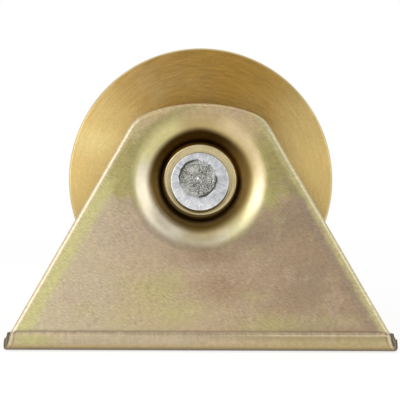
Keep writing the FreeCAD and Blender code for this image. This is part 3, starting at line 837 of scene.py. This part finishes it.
def beyond_ear(finish):
    """Distance past the plane of the cut face at an end of a bend, measured along the side."""
    face = finish.times(finish.absolute(finish.y), -EAR_SLANT)
    face = finish.add(face, finish.times(finish.z, -EAR_LEAN))
    face = finish.add(face, EAR_FOOT + EAR_SLANT * HALF_WIDTH - EAR_LEAN * AXLE_HEIGHT)
    return finish.maths("SUBTRACT", finish.absolute(finish.x), face)


def ear_mask(finish):
    """One on the cut faces at the ends of the bends."""
    low = finish.step(finish.z, BEND_TOP + 0.2 - AXLE_HEIGHT, BEND_TOP - 0.4 - AXLE_HEIGHT)
    return finish.times(finish.step(beyond_ear(finish), -0.45, -0.1), low)


def torn_metal(finish):
    """Cut faces: brown, nearly black towards the edges and in pits, with pale flecks."""
    height = finish.add(finish.z, AXLE_HEIGHT)
    pits = finish.step(finish.noise(0.9, 3.0), 0.08, -0.12)
    middle = finish.times(finish.band(finish.absolute(finish.y), 22.6, 2.2), finish.step(height, 7.0, 4.5))
    torn = finish.wash((0.115, 0.095, 0.065), middle, 0.9, (0.32, 0.25, 0.13))
    torn = finish.mix(pits, torn, (0.065, 0.055, 0.04))
    flecks = finish.step(finish.noise(1.3, 3.0, finish.shifted(9.0)), 0.12, 0.24)
    return finish.mix(flecks, torn, (0.50, 0.47, 0.38))


def sheet_grain(finish, hairs, mottle, flat):
    """How much lighter or darker the sheet's grain is: slanting hairs and grit, in patches, and mottle."""
    grit = finish.noise(3.2, 2.0, finish.shifted(13.0))
    low = finish.step(finish.z, 13.0 - AXLE_HEIGHT, 7.0 - AXLE_HEIGHT)
    strength = finish.add(finish.times(flat, 0.8), finish.add(finish.times(low, -0.4), 0.1))
    patches = finish.add(finish.times(finish.noise(0.13, 3.0, finish.shifted(51.0)), 2.2), 1.0)
    amount = finish.times(hairs, finish.times(strength, patches))
    amount = finish.add(amount, finish.times(grit, finish.times(strength, 0.45)))
    return finish.add(amount, finish.times(mottle, 0.24))


def bracket_sheet():
    """Pressed sheet, zinc plated and yellow passivated: cloudy tints, hair-fine grain and torn ends.

    A few bright scratches cross it at the upper right of the dish.
    """
    finish = Finish("yellow_passivated_sheet", 0.38)
    warp = finish.noise(0.045, 3.0)
    fine_warp = finish.noise(0.2, 3.0)
    mottle = finish.noise(0.5, 3.0)
    hairs = finish.noise(1.0, 4.0, finish.leaning(-27, 0.6, 2.2))
    flat = finish.step(finish.radius, 23.0, 27.0)
    tint = side_zones(finish, warp, fine_warp)
    tint = leg_bands(finish, tint, fine_warp)
    tint = dish_tints(finish, tint, fine_warp)
    tint = bend_tints(finish, tint)
    tint = finish.shaded(tint, sheet_grain(finish, hairs, mottle, flat))
    scratches = finish.step(finish.noise(1.0, 2.0, finish.leaning(-38, 0.06, 2.6)), 0.13, 0.22)
    scratches = finish.times(scratches, finish.spot(21.0, 18.0, 16.0, 15.0))
    tint = finish.shaded(tint, finish.times(scratches, 0.5))
    ears = ear_mask(finish)
    finish.base(finish.mix(ears, tint, torn_metal(finish)))
    gloss = finish.add(finish.times(mottle, 0.1), finish.add(finish.times(flat, 0.04), 0.34))
    finish.rough(finish.add(gloss, finish.times(ears, 0.25)))
    plain = finish.add(finish.times(mottle, 0.004), finish.times(hairs, finish.times(flat, 0.012)))
    finish.relief(finish.add(plain, finish.times(ears, finish.times(finish.noise(1.0, 3.0), 0.6))))
    return finish.material


def wheel_steel():
    """Turned and brushed wheel, yellow passivated: gold, with fine rings that stretch its highlights.

    It is browner towards the top, a painted shade, with a cloud of painted highlight at the left and
    clouds of painted shade on top, and pale with wear on its rim.
    """
    finish = Finish("yellow_passivated_wheel", 0.36)
    rings = finish.rounds(5.0, 3.0)
    strokes = finish.rounds(1.7, 3.0, 4.0)
    cloud = finish.noise(0.07, 3.0)
    grit = finish.noise(1.6, 4.0)
    upwards = finish.add(finish.times(finish.x, 0.09), finish.times(finish.z, 0.99))
    upwards = finish.maths("DIVIDE", upwards, finish.radius)
    # Painted shade: browner towards the top.
    brown = finish.step(finish.add(upwards, finish.times(cloud, 0.8)), 0.4, 1.1)
    tint = finish.mix(brown, (0.605, 0.437, 0.168), (0.43, 0.25, 0.06))
    # Painted highlight at the left and painted shade on top.
    tint = finish.washes(tint, WHEEL_HIGHLIGHT_AND_SHADE, cloud)
    wear_and_glint = finish.step(finish.radius, WHEEL_RADIUS - 0.9, WHEEL_RADIUS - 0.3)
    tint = finish.mix(wear_and_glint, tint, (0.60, 0.48, 0.24))
    amount = finish.add(finish.times(rings, 0.35), finish.times(cloud, 0.35))
    amount = finish.add(amount, finish.times(strokes, finish.add(finish.times(brown, 0.5), 0.2)))
    finish.base(finish.shaded(tint, finish.add(amount, finish.times(grit, 0.35))))
    finish.rough(finish.add(finish.times(finish.add(rings, strokes), 0.12), 0.36))
    finish.relief(finish.times(rings, 0.004))
    finish.brushed_round(0.55)
    return finish.material


def washer_steel():
    """Turned washer, yellow passivated, with painted light: brighter at the top, a painted highlight near
    its rounded edge, and painted shade at its foot and rim and under the head.
    """
    finish = Finish("yellow_passivated_washer", 0.28)
    rings = finish.rounds(2.2, 3.0)
    cloud = finish.noise(0.35, 3.0)
    # Painted light: lighter at the top and darker at the foot.
    tint = finish.mix(finish.step(finish.z, -9.0, 12.0), (0.38, 0.31, 0.16), (0.70, 0.57, 0.32))
    # Painted highlight: a paler ring near the rounded edge.
    tint = finish.mix(finish.band(finish.radius, 12.6, 0.7), tint, (0.68, 0.56, 0.31))
    # Painted shade: a dark crescent at the foot and the left of the rim.
    shade_crescent_reach = finish.reach(finish.add(finish.x, -0.3), finish.add(finish.z, -0.85))
    tint = finish.mix(finish.step(shade_crescent_reach, 13.2, 13.6), tint, (0.09, 0.06, 0.022))
    # Painted shadow of the head on the washer, just below it.
    head_shadow_reach = finish.reach(finish.x, finish.add(finish.z, 1.2))
    tint = finish.mix(finish.step(head_shadow_reach, 10.9, 10.4), tint, (0.10, 0.07, 0.03))
    amount = finish.add(finish.times(rings, 0.3), finish.times(cloud, 0.4))
    finish.base(finish.shaded(tint, amount))
    finish.rough(finish.add(finish.times(rings, 0.15), 0.28))
    finish.relief(finish.times(rings, 0.006))
    return finish.material


def torn_core(finish, ragged, fine, spokes):
    """Tint of the core: grey torn metal with a broken ring inside it, a smear and two paler flaps."""
    coarse = finish.noise(0.32, 3.0, finish.shifted(5.0))
    torn = finish.add(finish.add(fine, finish.times(coarse, 0.35)), finish.times(spokes, 0.25))
    core = finish.mix(finish.step(torn, -0.18, 0.19), (0.06, 0.06, 0.045), (0.57, 0.57, 0.53))
    inner = finish.times(finish.band(ragged, HEAD_CORE - 1.9, 0.35), finish.step(coarse, -0.05, 0.1))
    core = finish.shaded(core, finish.times(inner, -0.5))
    return finish.washes(core, CORE_CLOUDS, coarse)


def clean_rim(finish, cloud, spokes):
    """Tint of a head's rim: clean zinc with bluish clouds and tool strokes, brightest at its foot, a
    painted highlight.
    """
    # Painted highlight: the rim is brightest at its foot.
    towards_lit_foot = finish.add(finish.times(finish.x, -0.4), finish.times(finish.z, -0.92))
    rim = finish.mix(finish.step(towards_lit_foot, 3.0, 9.0), (0.63, 0.635, 0.65), (0.77, 0.77, 0.775))
    bluish = finish.step(finish.noise(0.6, 3.0, finish.shifted(17.0)), 0.0, 0.2)
    rim = finish.wash(rim, bluish, 0.5, (0.60, 0.63, 0.74))
    return finish.shaded(rim, finish.add(finish.times(cloud, 0.8), finish.times(spokes, 0.8)))


def pin_steel():
    """Plain zinc, torn and grey in the cores of the riveted heads, with dark arcs of painted shade in the
    groove where the tool cut.

    The core's edge is sharp where the arcs are, at the upper left and the lower right, and broken up
    elsewhere. The prick in its middle is pale.
    """
    finish = Finish("plain_zinc", 0.34)
    aside = finish.add(finish.x, -CORE_ASIDE)
    rise = finish.add(finish.z, HEAD_DROP - CORE_RISE)
    reach = finish.reach(aside, rise)
    cloud = finish.noise(0.5, 3.0)
    fine = finish.noise(3.6, 3.0)
    spokes = finish.spokes(1.0, 2.0, 14.0)
    slant = finish.absolute(finish.add(finish.times(aside, 0.8), finish.times(rise, -0.6)))
    sharp = finish.step(slant, 3.2, 5.4)
    broken = finish.times(fine, finish.times(finish.opposite(sharp), 3.6))
    ragged = finish.add(reach, finish.times(cloud, 1.2))
    at_end = finish.step(finish.absolute(finish.y), HEAD_TOP - 1.1, HEAD_TOP - 0.8)
    core = finish.step(finish.add(ragged, broken), HEAD_CORE + 0.2, HEAD_CORE - 0.6)
    core = finish.times(core, at_end)
    cut = finish.band(finish.add(ragged, finish.times(fine, 0.7)), HEAD_CORE - 0.3, 0.8)
    arcs = finish.times(finish.times(cut, sharp), at_end)
    torn = torn_core(finish, ragged, fine, spokes)
    torn = finish.mix(finish.step(reach, 0.7, 0.2), torn, (0.76, 0.76, 0.73))
    tint = finish.mix(core, clean_rim(finish, cloud, spokes), torn)
    # Painted shade: nearly black arcs in the groove.
    finish.base(finish.mix(arcs, tint, (0.035, 0.035, 0.028)))
    finish.rough(finish.add(finish.times(core, 0.12), finish.add(finish.times(fine, 0.2), 0.32)))
    finish.relief(finish.times(fine, finish.add(finish.times(core, 0.09), 0.02)))
    return finish.material


def bearing_steel():
    """Ground and polished rings and balls."""
    finish = Finish("polished_bearing_steel", 0.12)
    rings = finish.rounds(3.0, 2.0)
    finish.base(finish.shaded((0.62, 0.63, 0.65), finish.times(rings, 0.12)))
    finish.rough(finish.add(finish.times(rings, 0.08), 0.13))
    finish.relief(finish.times(rings, 0.001))
    return finish.material


def spring_steel():
    """Phosphated retaining ring: nearly black, with a fine grain."""
    finish = Finish("phosphated_spring_steel", 0.45)
    specks = finish.noise(2.5, 3.0)
    finish.base(finish.shaded((0.10, 0.095, 0.09), finish.times(specks, 0.6)))
    finish.rough(finish.add(finish.times(specks, 0.2), 0.42))
    finish.relief(finish.times(specks, 0.01))
    return finish.material


def thin_sheet():
    """Plain pressed sheet of the shields and the cage."""
    finish = Finish("plain_pressed_sheet", 0.3)
    rings = finish.rounds(1.8, 3.0)
    cloud = finish.noise(0.3, 3.0)
    amount = finish.add(finish.times(rings, 0.2), finish.times(cloud, 0.2))
    finish.base(finish.shaded((0.54, 0.54, 0.55), amount))
    finish.rough(finish.add(finish.times(cloud, 0.15), 0.3))
    finish.relief(finish.times(rings, 0.004))
    return finish.material


def new_pieces():
    """This script's own surfaces, each with the node that it replaces, its body and its slot."""
    return [
        (axle_pin(), "axle_pin", "bracket", "pin_steel"),
        (washer("front_washer_ring", -1), "front_washer", "bracket", "washer_steel"),
        (washer("rear_washer_ring", 1), "rear_washer", "bracket", "washer_steel"),
        (wheel(), "wheel", "wheel", "wheel_steel"),
    ]


def dress():
    """Put the new surfaces in place of their nodes, and give every piece the finish of its slot."""
    finishes = {
        "bracket_sheet": bracket_sheet(),
        "wheel_steel": wheel_steel(),
        "washer_steel": washer_steel(),
        "pin_steel": pin_steel(),
        "bearing_steel": bearing_steel(),
        "spring_steel": spring_steel(),
        "thin_sheet": thin_sheet(),
    }
    pieces = new_pieces()
    for piece, node, body, slot in pieces:
        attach(piece, body)
        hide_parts(node)
        piece.data.materials.append(finishes[slot])
    replaced = {node for _, node, _, _ in pieces}
    for entry in frame["record"]["subparts"]:
        if entry["node"] not in replaced:
            mesh = frame["nodes"][entry["node"]].data
            mesh.materials.clear()
            mesh.materials.append(finishes[entry["material_slot"]])


camera()
softboxes()
studio()
floor()
dress()

bpy.context.scene.view_settings.view_transform = "Standard"
